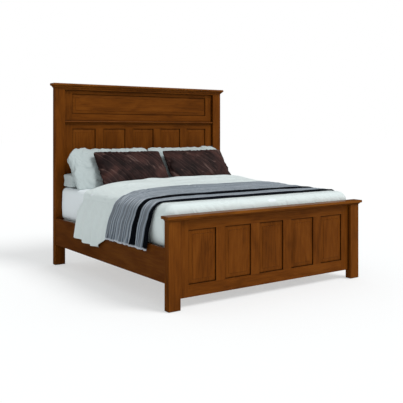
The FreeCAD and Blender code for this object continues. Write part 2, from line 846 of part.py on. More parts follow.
def pillow(length, width, thick, seam, draw):
    """A pillow lying flat about the origin: crowned both ways, its four sides drawn in.

    It is the common part of a section pushed along the pillow, one pushed across it and
    an outline of four hollow arcs. The lengthwise section is the thicker by a little.
    """
    a = length / 2
    b = width / 2
    across = bulge(lambda u, z: Vector(-a, u, z), b, pillow_flat_across * b, thick, seam)
    along = bulge(lambda u, z: Vector(u, -b, z), a, pillow_flat_along * a,
                  thick + pillow_crest, seam + pillow_crest)
    solid = Part.Face(across).extrude(Vector(length, 0, 0))
    solid = solid.common(Part.Face(along).extrude(Vector(0, width, 0)))
    corners = [Vector(-a, -b, -thick), Vector(a, -b, -thick), Vector(a, b, -thick),
               Vector(-a, b, -thick)]
    middles = [Vector(0, draw - b, -thick), Vector(a - draw, 0, -thick),
               Vector(0, b - draw, -thick), Vector(draw - a, 0, -thick)]
    sides = [arc(corners[i], middles[i], corners[(i + 1) % 4]) for i in range(4)]
    return solid.common(Part.Face(Part.Wire(sides)).extrude(Vector(0, 0, 2 * thick)))


def place_pillow(size, angle, places, i):
    """A pillow turned up on its lower long side: the left one of its pair, or the right.

    The pair share the mattress's width, less what lies beside and between them.
    """
    length = (mattress_width - sum(places)) / 2
    shape = pillow(length, *size)
    shape.rotate(Vector(0, 0, 0), Vector(1, 0, 0), angle)
    x = (2 * i - 1) * (mattress_half - places[i] - length / 2)
    lowest = shape.optimalBoundingBox(False, False).ZMin
    shape.translate(Vector(x, 0, mattress_top + soft_gap - lowest))
    return shape


def push_back(shape, nearest, behind):
    """Slide a piece towards the headboard until it is the soft gap short of a touch.

    It starts clear of the nearest piece behind it. The place of the first touch is found
    by halving the stretch between a clear place and one that overlaps.
    """
    shape.translate(Vector(0, nearest.BoundBox.YMin - shape.BoundBox.YMax, 0))
    clear = 0.0
    blocked = nearest.BoundBox.YLength + shape.BoundBox.YLength / 2
    while blocked - clear > seating_slack:
        trial = (clear + blocked) / 2
        if shape.translated(Vector(0, trial, 0)).common(behind).Volume > 0:
            blocked = trial
        else:
            clear = trial
    return shape.translated(Vector(0, clear - soft_gap, 0))


def make_pillows():
    """Sleeping pillows at the headboard, leaning pillows on them, velvet ones in front.

    Returns the y of the foremost point of them all.
    """
    board = box(-post_outer, post_outer, head_front, head_back, glide_height, head_frame_top)
    kinds = (("sleeping_pillow_", sleeping_pillow, 0.0, sleeping_pillow_places),
             ("leaning_pillow_", leaning_pillow, leaning_angle, leaning_pillow_places),
             ("velvet_pillow_", velvet_pillow, velvet_angle, velvet_pillow_places))
    foremost = head_front
    for i, name in enumerate(("left", "right")):
        behind = [board]
        for kind, size, angle, places in kinds:
            shape = place_pillow(size, angle, places, i)
            shape = push_back(shape, behind[-1], Part.makeCompound(behind))
            save(kind + name, shape)
            behind.append(shape)
        foremost = min(foremost, shape.BoundBox.YMin)
    return foremost


make_posts()
make_post_glides()
make_footboard()
make_headboard()
make_foot_cap()
make_crown()
make_ledge()
make_side_rails()
make_rail_hardware()
make_slats()
make_beam()
make_foundation()
make_mattress()
pillow_front_y = make_pillows()
make_duvet(pillow_front_y)
make_throw()
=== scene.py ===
import bmesh
import bpy
import math
import numpy as np
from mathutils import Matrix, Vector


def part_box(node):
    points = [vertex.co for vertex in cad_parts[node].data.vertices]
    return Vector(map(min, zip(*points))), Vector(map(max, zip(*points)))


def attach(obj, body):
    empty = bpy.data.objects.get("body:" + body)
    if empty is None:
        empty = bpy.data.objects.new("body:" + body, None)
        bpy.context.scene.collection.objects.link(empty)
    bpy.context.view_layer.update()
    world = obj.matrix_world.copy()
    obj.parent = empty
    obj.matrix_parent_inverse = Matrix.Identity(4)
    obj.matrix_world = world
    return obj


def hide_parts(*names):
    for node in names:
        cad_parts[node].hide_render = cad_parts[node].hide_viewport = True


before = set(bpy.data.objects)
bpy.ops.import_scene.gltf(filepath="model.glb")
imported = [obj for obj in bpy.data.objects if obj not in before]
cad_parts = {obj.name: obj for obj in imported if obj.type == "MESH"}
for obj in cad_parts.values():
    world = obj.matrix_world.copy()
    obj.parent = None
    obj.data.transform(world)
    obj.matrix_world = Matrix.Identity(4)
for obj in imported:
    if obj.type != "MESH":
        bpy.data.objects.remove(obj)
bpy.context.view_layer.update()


# ------------------------------------------------------------ posts, boards, caps and rails
# The bed frame is solid soft maple: square posts, framed boards with floating raised panels,
# moulded caps and deep rails. It is wiped with a warm brown stain, which maple takes in
# blotches, under a thin satin lacquer with a weak gloss. Its inner corners are darkened with
# painted shade.

def colour(code):
    """An sRGB hex colour as linear red, green, blue and alpha, by the standard curve."""
    parts = [int(code[i:i + 2], 16) / 255 for i in (1, 3, 5)]
    return [c / 12.92 if c <= 0.04045 else ((c + 0.055) / 1.055) ** 2.4 for c in parts] + [1.0]


def add(tree, kind, inputs=None, settings=None, stops=()):
    """One shader node. inputs are numbers or sockets, settings its fields, stops its ramp."""
    made = tree.nodes.new("ShaderNode" + kind)
    for field, value in (settings or {}).items():
        setattr(made, field, value)
    for socket, value in (inputs or {}).items():
        if isinstance(value, bpy.types.NodeSocket):
            tree.links.new(value, made.inputs[socket])
        else:
            made.inputs[socket].default_value = value
    for i, (place, code) in enumerate(stops):
        spot = made.color_ramp.elements[i] if i < 2 else made.color_ramp.elements.new(place)
        spot.position = place
        spot.color = colour(code)
    return made


def new_material(name):
    """An empty material with its node tree."""
    material = bpy.data.materials.new(name)
    material.use_nodes = True
    material.node_tree.nodes.clear()
    return material, material.node_tree


def planed_wood(name, grain, shift, dark, middle, light):
    """Planed wood under satin lacquer: fine streaks along the grain over blotches.

    grain is the axis that the fibres run along. Streaks are about 9 mm apart and 20 times
    as long, and blotches about 120 mm across, as pigment stain leaves them on maple. Within
    12 mm of an inner corner it darkens with painted shade, where the corner's shadow falls.
    """
    streak_gap = 0.009
    blotch_size = 0.12
    pore_gap = 0.0016
    corner_reach = 0.012
    material, tree = new_material(name)
    place = add(tree, "TexCoord").outputs["Object"]
    long_streak = [0.05 if axis == grain else 1.0 for axis in "xyz"]
    long_blotch = [0.28 if axis == grain else 1.0 for axis in "xyz"]
    fibre = add(tree, "Mapping", {"Vector": place, "Location": shift, "Scale": long_streak})
    cloud = add(tree, "Mapping", {"Vector": place, "Location": shift, "Scale": long_blotch})
    streak = add(tree, "TexNoise", {"Vector": fibre.outputs["Vector"], "Scale": 1 / streak_gap,
                                    "Detail": 5.0, "Roughness": 0.62, "Distortion": 0.5})
    blotch = add(tree, "TexNoise", {"Vector": cloud.outputs["Vector"], "Scale": 1 / blotch_size,
                                    "Detail": 3.0, "Roughness": 0.55, "Distortion": 0.8})
    both = add(tree, "Mix", {0: 0.5, 2: blotch.outputs["Fac"], 3: streak.outputs["Fac"]})
    tint = add(tree, "ValToRGB", {"Fac": both.outputs[0]},
               stops=((0.36, dark), (0.66, light), (0.5, middle)))
    # Painted shade: within 12 mm of an inner corner the colour darkens to #1d0c03, by ambient
    # occlusion.
    nook = add(tree, "AmbientOcclusion", {"Distance": corner_reach}, {"samples": 6})
    corner_shade_ramp = add(tree, "ValToRGB", {"Fac": nook.outputs["AO"]},
                stops=((0.5, "#000000"), (0.96, "#ffffff")))
    corner_shaded_tint = add(tree, "Mix", {0: corner_shade_ramp.outputs["Color"], 6: colour("#1d0c03"),
                               7: tint.outputs["Color"]}, {"data_type": "RGBA"})
    pores = add(tree, "TexNoise", {"Vector": fibre.outputs["Vector"], "Scale": 1 / pore_gap,
                                   "Detail": 2.0})
    relief = add(tree, "Bump", {"Height": pores.outputs["Fac"], "Strength": 0.12,
                                "Distance": 0.0004})
    skin = add(tree, "BsdfPrincipled", {
        "Base Color": corner_shaded_tint.outputs[2], "Roughness": 0.38, "IOR": 1.5,
        "Specular IOR Level": 0.15, "Specular Tint": colour("#ffcf9c"),
        "Normal": relief.outputs["Normal"]})
    add(tree, "OutputMaterial", {"Surface": skin.outputs["BSDF"]})
    return material


stain = ("#522907", "#66350a", "#744010")
maple_upright = planed_wood("stained maple, grain upright", "z", (0.0, 0.0, 0.0), *stain)
maple_upright_2 = planed_wood("stained maple, upright, second board", "z",
                              (3.1, 1.7, 5.3), *stain)
maple_across = planed_wood("stained maple, grain across the bed", "x",
                           (1.3, 2.9, 0.7), *stain)
# Painted shade: the rails get a darker copy of the stain, for the shade on their outer faces.
shaded_maple_along = planed_wood("stained maple, grain along the rail, painted shade", "y",
                          (4.2, 0.6, 2.2), "#4c2408", "#5f310b", "#6f3f12")
maple_cap = planed_wood("stained maple, cap boards", "x", (7.7, 3.3, 1.9),
                        "#5a300e", "#6e3d10", "#834d18")

grain_upright = ("post_left", "post_right", "stile", "muntin", "panel_")
grain_along = ("side_rail", "ledger")
caps = ("foot_cap", "head_crown")
for node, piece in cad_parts.items():
    if node in caps:
        finish = maple_cap
    elif node.startswith(grain_along):
        finish = shaded_maple_along
    elif any(word in node for word in grain_upright) and "upper" not in node:
        finish = maple_upright_2 if node[-1] in "24" or "muntin" in node else maple_upright
    else:
        finish = maple_across
    piece.data.materials.clear()
    piece.data.materials.append(finish)


# ------------------------------------------------------------ slats, beam and small hardware
# Under the mattress lie bare planed softwood slats on a middle beam with three legs. The rails
# hook on with zinc-plated steel plates, and the posts stand on black nylon glides.

def plain(name, code, roughness, metallic=0.0):
    """One even finish."""
    material, tree = new_material(name)
    skin = add(tree, "BsdfPrincipled", {"Base Color": colour(code), "Roughness": roughness,
                                        "Metallic": metallic})
    add(tree, "OutputMaterial", {"Surface": skin.outputs["BSDF"]})
    return material


bare_pine = planed_wood("planed pine, unfinished", "x", (2.0, 2.0, 2.0),
                        "#b08a58", "#c9a775", "#dcc096")
zinc = plain("zinc-plated steel", "#9a9c9f", 0.38, 1.0)
nylon = plain("black nylon", "#1b1a19", 0.55)
for names, finish in ((("slats", "center_beam", "beam_legs"), bare_pine),
                      (("rail_hook_plates", "post_keeper_plates"), zinc),
                      (("post_glides", "beam_leg_feet"), nylon)):
    for node in names:
        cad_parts[node].data.materials[0] = finish


# ------------------------------------------------------------ foundation
# Two upholstered foundations lie side by side on the slats, below the mattress. Each is a
# softwood box in a stapled polyester cover with rounded corners.

def mesh_object(name, points, faces, material, merge=0.00005):
    """A mesh from arrays of points and quads, with doubles merged and faces turned outwards."""
    data = bpy.data.meshes.new(name)
    data.from_pydata(points.reshape(-1, 3).tolist(), [], faces.reshape(-1, 4).tolist())
    shape = bmesh.new()
    shape.from_mesh(data)
    bmesh.ops.remove_doubles(shape, verts=shape.verts, dist=merge)
    bmesh.ops.recalc_face_normals(shape, faces=shape.faces)
    shape.to_mesh(data)
    shape.free()
    data.shade_smooth()
    data.materials.append(material)
    made = bpy.data.objects.new(name, data)
    bpy.context.scene.collection.objects.link(made)
    return made


def quads(rows, columns, first=0, closed=False):
    """Corner numbers of the quads of a grid of points, row by row, and round if closed."""
    ids = first + np.arange(rows * columns).reshape(rows, columns)
    if closed:
        ids = np.concatenate([ids, ids[:, :1]], axis=1)
    return np.stack([ids[:-1, :-1], ids[1:, :-1], ids[1:, 1:], ids[:-1, 1:]], -1).reshape(-1, 4)


def ripples(points, size, seed):
    """Smooth unevenness, mostly from -1 to 1: a fifth of the sum of fourteen plane waves.

    Each wave is about size long and runs in a direction of its own, all from the seed.
    """
    waves = 14
    chance = np.random.default_rng(seed)
    heading = chance.normal(size=(waves, 3))
    heading /= np.linalg.norm(heading, axis=1)[:, None]
    heading *= 2 * math.pi / (size * chance.uniform(0.6, 1.6, waves))[:, None]
    angle = points @ heading.T + chance.uniform(0, 2 * math.pi, waves)
    return np.sin(angle).sum(-1) / 5.0


def normals_of(grid):
    """The unit normal at each point of a grid, across its two directions."""
    n = np.cross(np.gradient(grid, axis=0), np.gradient(grid, axis=1))
    return n / np.maximum(np.linalg.norm(n, axis=-1), 1e-9)[..., None]


def rounded_plan(half_x, half_y, radius, straight, turn):
    """A rounded rectangle round the origin: four quarter circles joined by straight runs."""
    spots = []
    for quarter in range(4):
        angle = (quarter + np.linspace(0, 1, turn)) * math.pi / 2
        sx = 1 if quarter in (0, 3) else -1
        sy = 1 if quarter in (0, 1) else -1
        centre = np.array([sx * (half_x - radius), sy * (half_y - radius)])
        bend = centre + radius * np.stack([np.cos(angle), np.sin(angle)], -1)
        spots.append(bend)
    runs = []
    for i in range(4):
        share = np.linspace(0, 1, straight + 2)[1:-1, None]
        runs += [spots[i], spots[i][-1] + share * (spots[(i + 1) % 4][0] - spots[i][-1])]
    return np.concatenate(runs)


def loaf(low, high, corner, edge, straight=60, turn=12, rings=26):
    """A closed block with round corners in plan and round edges above and below.

    Rings of the plan are stacked: drawn in over the flat base, up the side, and in again
    over the top, each edge being a quarter circle. Returns the points ring by ring.
    """
    bend_rings = 10
    side_rings = 14
    half = (high - low) / 2
    middle = (high + low) / 2
    bend = np.linspace(0, math.pi / 2, bend_rings)
    flat = 1 - np.linspace(0, 1, rings)
    inset = np.concatenate([np.zeros(rings), edge * (1 - np.sin(bend)), np.zeros(side_rings),
                            edge * (1 - np.cos(bend)), np.zeros(rings)])
    side = np.linspace(edge - half[2], half[2] - edge, side_rings + 2)[1:-1]
    height = np.concatenate([np.full(rings, -half[2]), -half[2] + edge * (1 - np.cos(bend)),
                             side, half[2] - edge + edge * np.sin(bend),
                             np.full(rings, half[2])])
    shrink = np.concatenate([flat[::-1], np.ones(2 * bend_rings + side_rings), flat])
    stack = []
    for drawn_in, z, share in zip(inset, height, shrink):
        if share < 1 or abs(z) == half[2]:
            drawn_in = edge
        plan = share * rounded_plan(half[0] - drawn_in, half[1] - drawn_in, corner - drawn_in,
                                    straight, turn)
        stack.append(np.column_stack([plan, np.full(len(plan), z)]))
    return np.array(stack) + middle


def cover_cloth(name, code, thread, rumple=0.0):
    """Plain woven cotton or polyester: matt, with a faint sheen and the thread's fine relief.

    thread is the drawn spacing of the weave, coarser than the real one so that it shows.
    rumple is the depth of soft creases, 90 mm apart and over three times as long.
    """
    crease_gap = 0.09
    material, tree = new_material(name)
    place = add(tree, "TexCoord").outputs["Object"]
    weave = add(tree, "TexNoise", {"Vector": place, "Scale": 1 / thread, "Detail": 3.0})
    long = add(tree, "Mapping", {"Vector": place, "Rotation": (0.3, 0.9, 0.7),
                                 "Scale": (3.5, 1.0, 1.0)}, {"vector_type": "TEXTURE"})
    fold = add(tree, "TexNoise", {"Vector": long.outputs["Vector"], "Scale": 1 / crease_gap,
                                  "Detail": 2.0, "Roughness": 0.4, "Distortion": 1.2})
    soft = add(tree, "Bump", {"Height": fold.outputs["Fac"], "Strength": 1.0,
                              "Distance": rumple})
    relief = add(tree, "Bump", {"Height": weave.outputs["Fac"], "Strength": 0.1,
                                "Distance": 0.0005, "Normal": soft.outputs["Normal"]})
    skin = add(tree, "BsdfPrincipled", {
        "Base Color": colour(code), "Roughness": 0.85, "Sheen Weight": 0.25,
        "Normal": relief.outputs["Normal"]})
    add(tree, "OutputMaterial", {"Surface": skin.outputs["BSDF"]})
    return material


foundation_cloth = cover_cloth("woven polyester, foundation cover", "#d5d3ce", 0.003)
base_low, base_high = (np.array(c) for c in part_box("foundation"))
seam_gap = 0.002
halves = []
for x0, x1 in ((base_low[0], -seam_gap), (seam_gap, base_high[0])):
    halves.append(loaf(np.array([x0, base_low[1], base_low[2]]),
                       np.array([x1, base_high[1], base_high[2]]),
                       corner=0.03, edge=0.012, straight=30, turn=8, rings=14))
count = halves[0].shape[0] * halves[0].shape[1]
foundation = mesh_object(
    "foundation_cover", np.concatenate([h.reshape(-1, 3) for h in halves]),
    np.concatenate([quads(*halves[0].shape[:2], first=k * count, closed=True)
                    for k in (0, 1)]), foundation_cloth)
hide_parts("foundation")
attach(foundation, "root")


# ------------------------------------------------------------ mattress
# A deep spring and foam mattress in a white fitted cotton sheet. The sheet is stretched over
# the top and sides, smooth on the flats and faintly drawn at the corners.

sheet_cotton = cover_cloth("fitted cotton sheet", "#e4eaed", 0.002, 0.002)
bed_low, bed_high = (np.array(c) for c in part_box("mattress"))
form = loaf(bed_low, bed_high, corner=0.055, edge=0.05)
outward = normals_of(np.concatenate([form, form[:, :1]], axis=1))[:, :-1]
near_side = np.abs(form[..., 0]) / bed_high[0] > 0.8
swell_depth = 0.0016
pull_depth = 0.0014
belly_depth = 0.009
swell = swell_depth * ripples(form, 0.22, 5) - swell_depth
pull = pull_depth * ripples(form * np.array([1.0, 1.0, 0.25]), 0.05, 6) * near_side
level = (form[..., 2] - bed_low[2]) / (bed_high[2] - bed_low[2])
belly = belly_depth * np.sin(math.pi * np.clip(level, 0, 1)) ** 0.6
facing = np.sign((outward * (form - form.mean((0, 1)))).sum(-1, keepdims=True))
form = form + outward * (swell + pull + belly)[..., None] * facing
mattress = mesh_object("mattress_in_sheet", form,
                       quads(*form.shape[:2], closed=True), sheet_cotton)
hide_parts("mattress")
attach(mattress, "root")


# ------------------------------------------------------------ duvet
# A white cotton duvet, tucked down inside the rails and the footboard over the front half of
# the bed. Towards the head it is lofty and ends in a soft roll in front of the pillows, and on
# each side a flap of it hangs out over the rail.

duvet_cotton = cover_cloth("white cotton duvet", "#d6dfde", 0.002, 0.012)
duvet_low, duvet_high = (np.array(c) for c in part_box("duvet"))
bed_top = bed_high[2]
foot_edge = bed_low[1]
bed_half = bed_high[0]
velvet_front = min(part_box("velvet_pillow_left")[0][1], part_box("velvet_pillow_right")[0][1])
pillow_gap = 0.014
duvet_end = velvet_front - pillow_gap
roll_radius = 0.045
rail_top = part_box("side_rail_left")[1][2]
rail_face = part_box("side_rail_right")[1][0]
foot_loft = 0.005
head_loft = 0.092
hump_height = 0.012
hump_x = 0.78
left_reach = 0.93
right_reach = 1.08
plan_corner = 0.06


def bed_cover(grow, top, hem, shoulder, end):
    """A cover over the bed as a grid: from its hem up the side and in over the top.

    The plan is a U round the foot with round corners, and it is drawn in step by step to
    the bed's middle line. The shoulder is a quarter circle. top gives the height at
    (x, y), and end is where the cover stops towards the head.
    """
    hem_rows = 16
    top_rows = 45
    side_points = 100
    foot_points = 90
    half = bed_half + grow
    foot = foot_edge - grow
    radius = plan_corner + grow
    bend = np.linspace(0, math.pi / 2, 12)[1:]
    share = np.linspace(0, 1, top_rows + 1)[1:]
    inset = np.concatenate([np.zeros(hem_rows), shoulder * (1 - np.cos(bend)),
                            shoulder + (half - shoulder) * share])
    drop = np.concatenate([np.zeros(hem_rows), shoulder * (1 - np.sin(bend)),
                           np.zeros(top_rows)])
    run = 1 - np.linspace(0, 1, side_points) ** 1.6
    rows = []
    for d in inset:
        r = max(radius - d, 0.0)
        side = foot + d + r + (end - foot - d - r) * run
        left = np.column_stack([np.full(side_points, d - half), side])
        angle = np.linspace(0, math.pi / 2, 10)[1:-1]
        bow = np.column_stack([d - half + r - r * np.cos(angle),
                               foot + d + r - r * np.sin(angle)])
        across = np.linspace(d - half + r, half - d - r, foot_points)
        front = np.column_stack([across, np.full(foot_points, foot + d)])
        rows.append(np.concatenate([left, bow, front, bow[::-1] * [-1, 1],
                                    left[::-1] * [-1, 1]]))
    plan = np.array(rows)
    upper = top(plan[..., 0], plan[..., 1])
    z = upper - drop[:, None]
    up = np.linspace(0, 1, hem_rows)[:, None]
    z[:hem_rows] = hem + (upper[:hem_rows] - shoulder - hem) * up
    return np.dstack([plan, z])


def soft_step(value, start, end):
    """0 before start and 1 after end, with a smooth cubic between."""
    t = np.clip((value - start) / (end - start), 0, 1)
    return t * t * (3 - 2 * t)


def duvet_top(x, y):
    """The duvet's upper side: thin at the foot, and rising as a power of the way to the head.

    It falls to the sides as the fourth power of the way out, is uneven where it is thick,
    and its last stretch curls down in a quarter circle to the sheet. A low hump lies by
    its right edge at the head end.
    """
    along = np.clip((y - foot_edge) / (duvet_end - foot_edge), 0, 1)
    spot = np.stack([x, y, np.zeros_like(x)], -1)
    hump = np.exp(-((x - hump_x) / 0.2) ** 2 - ((y - duvet_end) / 0.5) ** 2)
    full = head_loft * along ** 2.2 + hump_height * hump
    sides = np.where(x < 0, np.abs(x) / left_reach, x / right_reach)
    rise = foot_loft + full * (1 - np.clip(sides, 0, 1) ** 4)
    uneven = (0.20 * ripples(spot * [1.0, 1.7, 1.0], 0.62, 11)
              + 0.10 * ripples(spot * [0.8, 2.2, 1.0], 0.20, 12)) * rise * 0.5
    crease = np.abs(ripples(spot * [0.7, 1.6, 1.0], 0.30, 14))
    uneven = uneven - 0.004 * np.exp(-(crease / 0.06) ** 2) * np.clip(along * 2, 0, 1)
    into = np.clip((y - duvet_end + roll_radius) / roll_radius, 0, 1)
    curl = (1 - np.sqrt(1 - into ** 2)) * (rise - 0.01)
    return bed_top + rise + uneven - curl


tuck = rail_top - 0.008
lining = 0.0012
outer = bed_cover(0.0083, duvet_top, tuck, 0.066, duvet_end)
inner = bed_cover(lining, lambda x, y: np.full_like(x, bed_top + lining), tuck, 0.05,
                  duvet_end)
by_footboard = soft_step(-outer[..., 1], 0.35, 0.75)
at_side = soft_step(np.abs(outer[..., 0]), bed_half - 0.03, bed_half)
fullness = 0.026 * by_footboard * at_side
level = (outer[..., 2] - tuck) / (bed_top - tuck)
outer[..., 0] += np.sign(outer[..., 0]) * fullness * np.sin(math.pi * np.clip(level, 0, 1))
rows, columns = outer.shape[:2]
duvet_points = [outer.reshape(-1, 3), inner.reshape(-1, 3)]
duvet_faces = [quads(rows, columns), quads(rows, columns, rows * columns)[:, ::-1]]


def rim(first, second):
    """Quads that join two equal rows of point numbers."""
    return np.stack([first[:-1], first[1:], second[1:], second[:-1]], -1)


ids = np.arange(2 * rows * columns).reshape(2, rows, columns)
for edge in (np.s_[0, :], np.s_[:, 0], np.s_[:, -1]):
    duvet_faces.append(rim(ids[0][edge], ids[1][edge]))


def slab(middle, thick):
    """A closed sheet round a middle surface: half the thickness each way along its normal."""
    n = normals_of(middle) * thick[..., None] / 2
    r, c = middle.shape[:2]
    numbers = np.arange(2 * r * c).reshape(2, r, c)
    walls = [quads(r, c), quads(r, c, r * c)[:, ::-1]]
    for edge in (np.s_[0, :], np.s_[-1, :], np.s_[:, 0], np.s_[:, -1]):
        walls.append(rim(numbers[0][edge], numbers[1][edge]))
    both = np.concatenate([(middle + n).reshape(-1, 3), (middle - n).reshape(-1, 3)])
    return both, np.concatenate(walls)


def flap(side):
    """The duvet's hanging flap: down the bed's side, out over the rail and down to its hem.

    Depth runs down the cloth, which leaves the bed's side along a quarter sine. Its foot
    edge starts under the throw and its head edge by the pillows, both by a few measured
    places joined by straight runs. Low folds grow towards the hem.
    """
    flap_top = 0.752
    inset = 0.006
    fold_gap = 0.152
    depth, along = np.meshgrid(np.linspace(0, 1, 80), np.linspace(0, 1, 90), indexing="ij")
    drop = depth[:, :1]
    start = np.interp(drop, (0.0, 0.35, 0.6, 0.75, 1.0), (-0.26, -0.21, -0.16, -0.09, 0.045))
    head = duvet_end + np.interp(drop, (0.0, 0.15, 0.4, 0.62, 0.75, 1.0),
                                 (-0.05, -0.03, 0.04, 0.02, 0.03, 0.06))
    y = start + (head - start) * along
    hem = duvet_low[2] + 0.004 + 0.03 * along
    z = flap_top + (hem - flap_top) * depth
    hang = np.sin(math.pi / 2 * np.clip((flap_top - z) / (flap_top - rail_top), 0, 1)) ** 1.3
    free = soft_step(y, -0.10, 0.02)
    x = bed_half - inset + (rail_face + 0.005 + 0.005 * free - bed_half + inset) * hang
    fold = np.cos(2 * math.pi * (y / fold_gap + 0.10 * np.sin(9 * y) - 0.25 * depth * y))
    below = soft_step(-z, -(rail_top + 0.06), -duvet_low[2])
    x = x + free * (0.012 * below + 0.005 * hang) * (1 + fold)
    spot = np.stack([x, y, z], -1)
    z = z + 0.005 * soft_step(depth, 0.6, 1) * np.sin(14 * y + 1.0)
    edge = np.minimum(np.minimum(along, 1 - along) * 14, 1 - depth ** 24)
    thick = 0.0035 + 0.0045 * np.sqrt(np.clip(edge, 0, 1)) * (1 - 0.2 * ripples(spot, 0.1, 21))
    return np.stack([side * x, y, z], -1), thick


for side in (-1, 1):
    points, walls = slab(*flap(side))
    duvet_faces.append(walls + sum(len(p) for p in duvet_points))
    duvet_points.append(points)
duvet = mesh_object("cotton_duvet", np.concatenate(duvet_points), np.concatenate(duvet_faces),
                    duvet_cotton)
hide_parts("duvet")
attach(duvet, "root")


# ------------------------------------------------------------ throw
# A ribbed knitted throw in grey-blue acrylic yarn lies across the bed in front of the pillows
# and hangs over both rails. Two dark stripes are knitted in, one along its foot edge and one a
# third of the way to its head edge, and its hems end in a short pale fringe.

def knitted(name, valley, crest, sheen):
    """Rib knit: raised ribs run the length of the throw, with stitches across each.

    The rib attribute is 1 on a rib's crest and 0 in the valley, which are about 52 mm apart.
    The colour runs from valley to crest by it, so the valleys carry painted shade.
    The UV map is in metres on the flat cloth, u down its length, where a stitch is 7 mm. The
    fringe attribute marks the pale ends. Loose fibres give the yarn its sheen.
    """
    stitch_length = 0.007
    speck_size = 0.02
    material, tree = new_material(name)
    place = add(tree, "TexCoord")
    flat = add(tree, "SeparateXYZ", {"Vector": place.outputs["UV"]})
    rib = add(tree, "Attribute", settings={"attribute_name": "rib"})
    stitch = add(tree, "Math", {0: flat.outputs["X"], 1: 2 * math.pi / stitch_length},
                 {"operation": "MULTIPLY"})
    stitch = add(tree, "Math", {0: stitch.outputs[0]}, {"operation": "SINE"})
    wobble = add(tree, "Math", {0: stitch.outputs[0], 1: 0.2, 2: rib.outputs["Fac"]},
                 {"operation": "MULTIPLY_ADD"})
    relief = add(tree, "Bump", {"Height": wobble.outputs[0], "Strength": 0.7,
                                "Distance": 0.0016})
    speck = add(tree, "TexNoise", {"Vector": place.outputs["Object"],
                                   "Scale": 1 / speck_size, "Detail": 4.0})
    high = add(tree, "Math", {0: speck.outputs["Fac"], 1: 0.7, 2: rib.outputs["Fac"]},
               {"operation": "MULTIPLY_ADD"})
    high = add(tree, "Math", {0: high.outputs[0], 1: 0.6}, {"operation": "MULTIPLY"})
    # Painted shade: the colour goes to the darker valley colour in each rib's valley.
    yarn = add(tree, "ValToRGB", {"Fac": high.outputs[0]},
               stops=((0.12, valley), (0.85, crest)))
    pale = add(tree, "Attribute", settings={"attribute_name": "fringe"})
    ends = add(tree, "Mix", {0: pale.outputs["Fac"], 6: yarn.outputs["Color"],
                             7: colour("#a9adb5")}, {"data_type": "RGBA"})
    skin = add(tree, "BsdfPrincipled", {
        "Base Color": ends.outputs[2], "Roughness": 0.9, "Specular IOR Level": 0.1,
        "Sheen Weight": sheen, "Sheen Roughness": 0.5, "Sheen Tint": colour("#e6edf4"),
        "Normal": relief.outputs["Normal"]})
    add(tree, "OutputMaterial", {"Surface": skin.outputs["BSDF"]})
    return material


rib_pitch = 0.052
knit = knitted("ribbed acrylic knit", "#2c343e", "#747e8a", 1.0)
knit_dark = knitted("ribbed acrylic knit, dark stripe", "#03060d", "#070c17", 0.0)
throw_low, throw_high = (np.array(c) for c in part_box("throw_blanket"))
throw_width = throw_high[1] - throw_low[1]
side_reach = rail_face - 0.006
turn_radius = 0.11
hem_z = throw_low[2] + 0.004
path_top = bed_top + 0.09
lower_side = 0.60
half_points = 160
window = 5


def throw_section():
    """Half of the throw's path seen end on: over the top, round the shoulder, out and down.

    It is a chain of straight runs and one quarter circle, resampled at even spacing and
    smoothed by a running mean, which rounds its bends. Its two ends stay where they are.
    """
    bend = np.linspace(0, math.pi / 2, 24)
    corner = side_reach - turn_radius
    chain = np.concatenate([
        [[0.0, path_top]], np.column_stack([corner + turn_radius * np.sin(bend),
                                            path_top - turn_radius * (1 - np.cos(bend))]),
        [[rail_face + 0.006, lower_side], [rail_face + 0.013, rail_top],
         [rail_face + 0.015, hem_z]]])
    reach = np.concatenate([[0], np.cumsum(np.linalg.norm(np.diff(chain, axis=0), axis=1))])
    even = np.linspace(0, reach[-1], half_points)
    path = np.column_stack([np.interp(even, reach, chain[:, i]) for i in (0, 1)])
    mean = np.ones(window) / window
    spare = window // 2
    padded = np.concatenate([np.repeat(path[:1], spare, 0), path,
                             np.repeat(path[-1:], spare, 0)])
    smooth = np.column_stack([np.convolve(padded[:, i], mean, "valid") for i in (0, 1)])
    smooth[:4] = path[:4]
    smooth[-3:] = path[-3:]
    return smooth, reach[-1]


half_path, half_length = throw_section()
path = np.concatenate([half_path[::-1] * [-1, 1], half_path[1:]])
down = np.linspace(-half_length, half_length, len(path))
lanes = 150
across = np.linspace(0, 1, lanes)
x = np.repeat(path[:, :1], lanes, 1)
z = np.repeat(path[:, 1:], lanes, 1)

# Where five places across the cloth lie along the bed, from the throw's foot side: on the
# bed, at the shoulder and at the hem. The cloth is gathered at the shoulders.
marks = (0.0, 0.10, 0.28, 0.38, 1.0)
on_bed = np.array([-0.030, 0.065, 0.205, 0.325, 0.78])
at_shoulder = np.array([-0.020, 0.020, 0.150, 0.215, 0.60])
at_hem = np.array([0.020, 0.092, 0.210, 0.290, 0.725])
left_turn = 0.62
right_turn = 0.86
turn_from = np.where(path[:, 0] < 0, left_turn, right_turn)
turned = soft_step(np.abs(path[:, 0]), turn_from, 0.99)[:, None]
hang_length = 0.436
fallen = np.clip((np.abs(down) - half_length) / hang_length + 1, 0, 1)[:, None] ** 0.85
spread = on_bed + turned * (at_shoulder - on_bed) + fallen * (at_hem - at_shoulder)
lane_y = np.array([np.interp(across, marks, row) for row in spread])
y = throw_low[1] + lane_y
clearance = 0.0062
lift = duvet_top(x, y) - path_top + clearance

